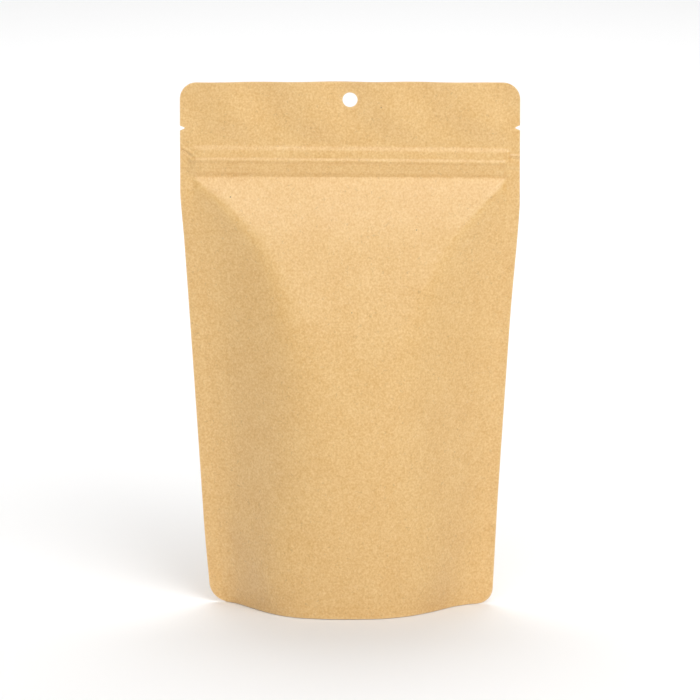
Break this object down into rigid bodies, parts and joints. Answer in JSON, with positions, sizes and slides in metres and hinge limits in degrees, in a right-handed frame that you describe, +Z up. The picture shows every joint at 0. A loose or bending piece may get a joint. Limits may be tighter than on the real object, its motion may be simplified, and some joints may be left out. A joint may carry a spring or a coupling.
{
  "type": "kraft paper stand-up pouch",
  "caption": "Closed kraft paper stand-up pouch with a flat header, hang hole, tear notches, press-to-close zipper, sealed sides and a gusseted foot.",
  "frame": {"origin": "on the floor at the middle of the pouch's box, under the middle of the lens-shaped foot", "axes": "+Z up towards the header, +X to the right across the front panel, the front panel faces -Y"},
  "size_m": [0.13, 0.0584, 0.204],
  "materials": {
    "kraft_paper": "natural brown kraft paper with a faint satin sheen"
  },
  "bodies": {
    "root": {"pouch": "kraft_paper"}
  },
  "joints": []
}
